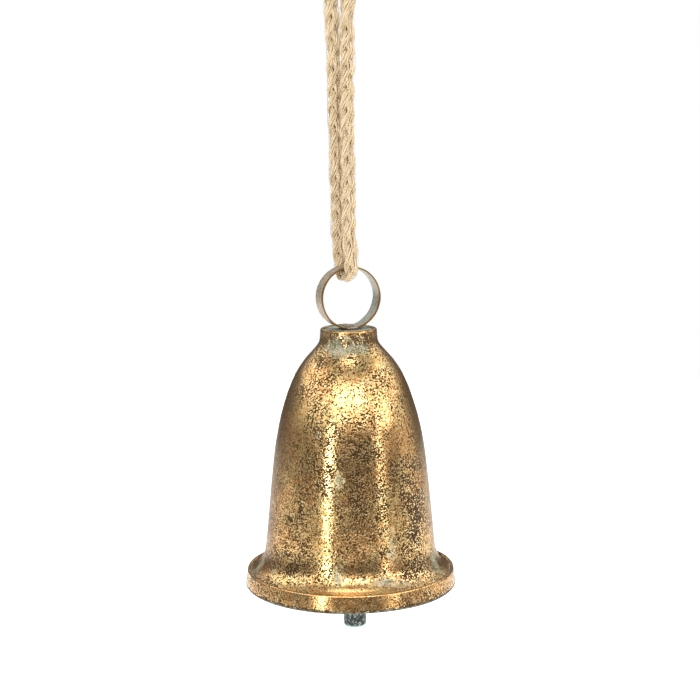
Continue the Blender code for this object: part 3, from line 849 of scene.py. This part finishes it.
class Plait:
    """The rope's route, the directions of its sides, and how it bunches in the ring and frays.

    No strand or yarn runs quite true: lumps move each a little from its place.
    """

    def __init__(self):
        self.route = rope_route()
        self.across, self.out = rope_sides(self.route)
        self.travel = np.arange(len(self.route)) * ROPE_STEP
        self.length = self.travel[-1]
        self.run = np.stack([self.travel, self.travel * 0, self.travel * 0], 1)
        near_end = np.minimum(self.travel, self.length - self.travel)
        self.fray = np.clip(1 - near_end / FRAY, 0, 1) ** 2
        height = self.route[:, 2] - self.route[:, 2].min()
        at_ring = np.exp(-(height / BUNCH) ** 2)
        self.squeeze, self.swell = 1 - 0.2 * at_ring, 1 + 0.35 * at_ring

    def strand(self, strand):
        """A strand's middle line, and the directions across it and out of it."""
        reach_across = PLAIT_WIDTH / 2 - STRAND_WIDTH - YARN_RADIUS + STRAND_BULGE
        reach_out = PLAIT_THICKNESS / 2 - STRAND_THICKNESS - YARN_RADIUS
        phase = 2 * np.pi * (self.travel / PLAIT_PITCH + strand / STRANDS)
        phase = phase + 0.8 * lumps(self.run, 30, 51)
        across = (self.squeeze * reach_across * np.sin(phase)
                  + 0.22 * lumps(self.run, 9, 52 + strand))
        out = (self.swell * reach_out * np.sin(2 * phase)
               + 0.15 * lumps(self.run, 9, 56 + strand))
        middle = self.route + self.across * across[:, None] + self.out * out[:, None]
        direction = unit(np.gradient(middle, axis=0))
        flat = unit(self.across
                    - direction * np.sum(self.across * direction, axis=1)[:, None])
        return middle, flat, np.cross(direction, flat)

    def yarn(self, strand, yarn):
        """A yarn's line and its radius at each point; at the rope's ends it thins and spreads."""
        middle, flat, lift = self.strand(strand)
        roll = 2 * np.pi * (yarn / YARNS + self.travel / YARN_PITCH) + strand
        roll = roll + 0.5 * lumps(self.run, 12, 70 + strand)
        spread = 1 + 1.3 * self.fray
        line = (middle + flat * (STRAND_WIDTH * np.cos(roll) * spread * self.squeeze)[:, None]
                + lift * (STRAND_THICKNESS * np.sin(roll) * spread * self.swell)[:, None])
        line = line + 0.28 * np.stack(
            [lumps(line + 50 * k, 4.5, 60 + 7 * strand + yarn) for k in range(3)], 1)
        radius = YARN_RADIUS * (1 + 0.16 * lumps(line, 5.0, 80 + strand * 5 + yarn)
                                + 0.08 * lumps(line, 1.6, 100 + strand * 5 + yarn))
        radius = radius * (1 - 0.35 * self.fray)
        radius[[0, -1]] *= 0.5
        return line, radius

    def depth(self, ring):
        """How far into the plait each point of a yarn lies, which sets its painted shade: 1 at its
        middle, 0 outside.
        """
        offset = ring - np.repeat(self.route, YARN_SIDES, axis=0)
        across = np.sum(offset * np.repeat(self.across, YARN_SIDES, axis=0), axis=1)
        out = np.sum(offset * np.repeat(self.out, YARN_SIDES, axis=0), axis=1)
        reach = np.hypot(across / (PLAIT_WIDTH / 2), out / (PLAIT_THICKNESS / 2))
        core_shade = np.clip((SHADE_CORE - reach) / SHADE_CORE_FADE, 0, 1)
        return core_shade * (1 - np.repeat(self.fray, YARN_SIDES))


def rope():
    """The plaited rope, with its loose fibres."""
    plait = Plait()
    rng = np.random.default_rng(7)
    points, faces, lines, start = [], [], [], 0
    marks = {"grain": [], "shade_and_dark_fibres": [], "tint": []}
    for strand, yarn in itertools.product(range(STRANDS), range(YARNS)):
        line, radius = plait.yarn(strand, yarn)
        ring, ring_faces, turn = sweep(line, radius, YARN_SIDES, start)
        lines.append(line)
        points.append(ring)
        faces.extend(ring_faces)
        start += len(ring)
        along = np.repeat(plait.travel * MM, YARN_SIDES) + strand * 3.1 + yarn * 0.7
        sides = np.tile(np.stack([np.cos(turn), np.sin(turn)], 1), (len(line), 1))
        marks["grain"].append(np.column_stack([along, sides]))
        # painted shade in the middle of the plait
        marks["shade_and_dark_fibres"].append(plait.depth(ring))
        marks["tint"].append(np.full(len(ring), rng.random()))
    made = make_piece(
        "jute_rope", in_frame(np.vstack(points)), faces, JUTE, "rope",
        ["rope_loop", "rope_knot", "rope_tail_left", "rope_tail_right"],
        {key: np.concatenate(values) for key, values in marks.items()}, sharp=None)
    fuzz = rope_fuzz(np.array(lines), plait.route, rng)


def standing_fibre(lines, route, rng):
    """The run of a loose fibre that stands off a yarn."""
    line = lines[rng.integers(len(lines))]
    k = int(rng.integers(3, len(route) - 4))
    ahead = unit(line[k + 2] - line[k - 2])
    out = squared(rng.normal(size=3), ahead)
    size = rng.uniform(1.5, 4.0)
    t = np.linspace(0, 1, 5)[:, None]
    curl = unit(rng.normal(size=3)) * rng.uniform(0.1, 0.35)
    return (line[k] + out * YARN_RADIUS * 0.7 + ahead * size * t * rng.choice([-1, 1])
            + out * size * rng.uniform(0.25, 0.8) * t ** 1.5 + curl * size * t * t)


def laid_fibre(lines, route, rng):
    """The run of a fibre that lies along the rope from one yarn's outside to another's."""
    k = int(rng.integers(3, len(route) - 18))
    ahead = k + int(rng.integers(5, 15))
    first, last = lines[:, k] - route[k], lines[:, ahead] - route[ahead]
    half = len(lines) // 2
    outer = np.argsort(np.linalg.norm(first, axis=1))[-half:]
    start = first[rng.choice(outer)]
    outer = np.argsort(np.linalg.norm(last, axis=1))[-half:]
    end = last[outer[np.argmin(np.linalg.norm(last[outer] - start, axis=1))]]
    t = np.linspace(0, 1, 6)[:, None]
    place = k + t[:, 0] * (ahead - k)
    middle = np.stack([np.interp(place, np.arange(len(route)), route[:, n]) for n in range(3)], 1)
    off = start * (1 - t) + end * t
    reach = np.linalg.norm(off, axis=1, keepdims=True)
    off = unit(off) * (reach + YARN_RADIUS * (0.95 + 0.5 * np.sin(np.pi * t)))
    return middle + off + rng.normal(size=3) * 0.15


FIBRES = (                       # what makes them, how many, and how thick at the root, in mm
    (standing_fibre, 900, 0.055),
    (laid_fibre, 2600, 0.10),
)


def rope_fuzz(lines, route, rng):
    """Loose fibres over the rope."""
    points, faces, tint, shade_and_dark_fibres, start = [], [], [], [], 0
    for make, count, thick in FIBRES:
        for _ in range(count):
            run = make(lines, route, rng)
            ring, ring_faces, _ = sweep(run, np.linspace(thick, thick * 0.4, len(run)), 3, start)
            points.append(ring)
            faces.extend(ring_faces)
            start += len(ring)
            tint.append(np.full(len(ring), rng.random()))
            shade_and_dark_fibres.append(np.full(len(ring), max(0, rng.random() - 0.6)))
    points = in_frame(np.vstack(points))
    marks = {"grain": points, "shade_and_dark_fibres": np.concatenate(shade_and_dark_fibres), "tint": np.concatenate(tint)}
    return make_piece("jute_fibres", points, faces, JUTE, "rope", (), marks, sharp=None)


bell_shell()
lip_band()
crown_disc()
hanging_ring()
ring_weld("ring_weld_front", 61)
ring_weld("ring_weld_back", 62)
clapper_weight()
rope()

CAD_FINISHES = (("backing_washer", IRON), ("eye_rivet", RING_METAL), ("clapper_link", IRON),
                ("clapper_rod", IRON))
for node, finish in CAD_FINISHES:
    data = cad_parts[node].data
    data.materials.clear()
    data.materials.append(finish)


# ---------------------------------------------------------------- stage and light

FLOOR_RADIUS = 4.0               # m
FLOOR_DROP = -0.95               # below the hanging point
LIGHT_DISTANCE = 2.0             # m, from the middle of the bell
LIGHT_AIM = 90                   # mm above the lip
LIGHTS = (                       # name, bearing and rise in degrees, width and height in m, radiance
    ("key_box", 0, 34, 1.9, 0.54, 2.9),
    ("top_box", 0, 80, 0.9, 0.9, 2.1),
    ("left_strip", -31, 4, 0.14, 0.75, 18.0),
    ("right_strip", 46, 4, 0.09, 0.75, 9.0),
    ("right_wall", 100, 2, 1.3, 1.4, 0.48),
    ("right_box", 62, 18, 0.9, 0.35, 2.6),
)
FRONT_LIGHT = 0.04               # how bright the studio is towards the camera
SIDE_LIGHT = 0.30
BACK_LIGHT = 0.08
UPPER_LIGHT = 1.6                # in a band from about 27 to 38 degrees up, which fades out below
CEILING_LIGHT = 0.25             # and above it
UPPER_BACK_SHARE = 0.45          # of the upper light, straight behind the bell


def add_stage():
    """A plain pale floor well below the bell."""
    mesh = bpy.data.meshes.new("floor")
    turn = np.linspace(0, 2 * math.pi, 96, endpoint=False)
    rim = [(FLOOR_RADIUS * math.cos(a), FLOOR_RADIUS * math.sin(a), FLOOR_DROP) for a in turn]
    mesh.from_pydata(rim, [], [list(range(len(rim)))])
    floor = Finish("floor")
    floor.set(Base_Color=(0.9, 0.9, 0.9), Roughness=0.9, Emission_Color=(1, 1, 1),
              Emission_Strength=0.7)
    mesh.materials.append(floor.material)
    add_object("floor", mesh)


def add_light(name, bearing, rise, width, tall, radiance):
    """A soft box that faces the bell, at a bearing from its front and a rise above level."""
    data = bpy.data.lights.new(name, "AREA")
    data.shape = "RECTANGLE"
    data.size, data.size_y = width, tall
    data.energy = radiance * math.pi * width * tall
    angle, rise = math.radians(bearing + FRONT), math.radians(rise)
    away = Vector((math.sin(angle) * math.cos(rise), -math.cos(angle) * math.cos(rise),
                   math.sin(rise)))
    made = add_object(name, data)
    made.location = Vector((0, 0, at(LIGHT_AIM))) + away * LIGHT_DISTANCE
    made.rotation_mode = "QUATERNION"
    made.rotation_quaternion = (-away).to_track_quat("-Z", "Y")
    made.visible_camera = False


def add_world():
    """White to look at; for light, a dim grey studio with a bright band round its upper walls."""
    world = bpy.data.worlds.new("studio")
    bpy.context.scene.world = world
    world.use_nodes = True
    nodes, links = world.node_tree.nodes, world.node_tree.links
    background = nodes["Background"]
    seen = nodes.new("ShaderNodeLightPath").outputs["Is Camera Ray"]
    ray = nodes.new("ShaderNodeTexCoord").outputs["Generated"]

    def towards(direction, low, high, dark, light):
        """Goes from dark to light as the ray's share along a direction goes from low to high."""
        dot = nodes.new("ShaderNodeVectorMath")
        dot.operation = "DOT_PRODUCT"
        dot.inputs[1].default_value = direction
        links.new(ray, dot.inputs[0])
        spread = nodes.new("ShaderNodeMapRange")
        spread.interpolation_type = "SMOOTHSTEP"
        for name, value in (("From Min", low), ("From Max", high), ("To Min", dark),
                            ("To Max", light)):
            spread.inputs[name].default_value = value
        links.new(dot.outputs["Value"], spread.inputs["Value"])
        return spread.outputs[0]

    def joined(operation, a, b):
        node = nodes.new("ShaderNodeMath")
        node.operation = operation
        links.new(a, node.inputs[0])
        links.new(b, node.inputs[1])
        return node.outputs[0]

    bearing = math.radians(FRONT)
    behind, up = (-math.sin(bearing), math.cos(bearing), 0), (0, 0, 1)
    level = joined("ADD", towards(behind, -1.0, 0.1, FRONT_LIGHT, SIDE_LIGHT),
                   towards(behind, 0.3, 0.9, 0, BACK_LIGHT - SIDE_LIGHT))
    above = joined("ADD", towards(up, 0.15, 0.45, 0, UPPER_LIGHT),
                   towards(up, 0.62, 0.85, 0, CEILING_LIGHT - UPPER_LIGHT))
    above = joined("MULTIPLY", above, towards(behind, 0.35, 0.8, 1, UPPER_BACK_SHARE))
    light = joined("ADD", level, above)
    choose = nodes.new("ShaderNodeMix")
    links.new(seen, choose.inputs[0])
    links.new(light, choose.inputs[2])
    choose.inputs[3].default_value = 1.0
    links.new(choose.outputs[0], background.inputs["Strength"])
    background.inputs["Color"].default_value = (1, 1, 1, 1)


add_stage()
for light in LIGHTS:
    add_light(*light)
add_world()
bpy.context.scene.view_settings.view_transform = "Standard"
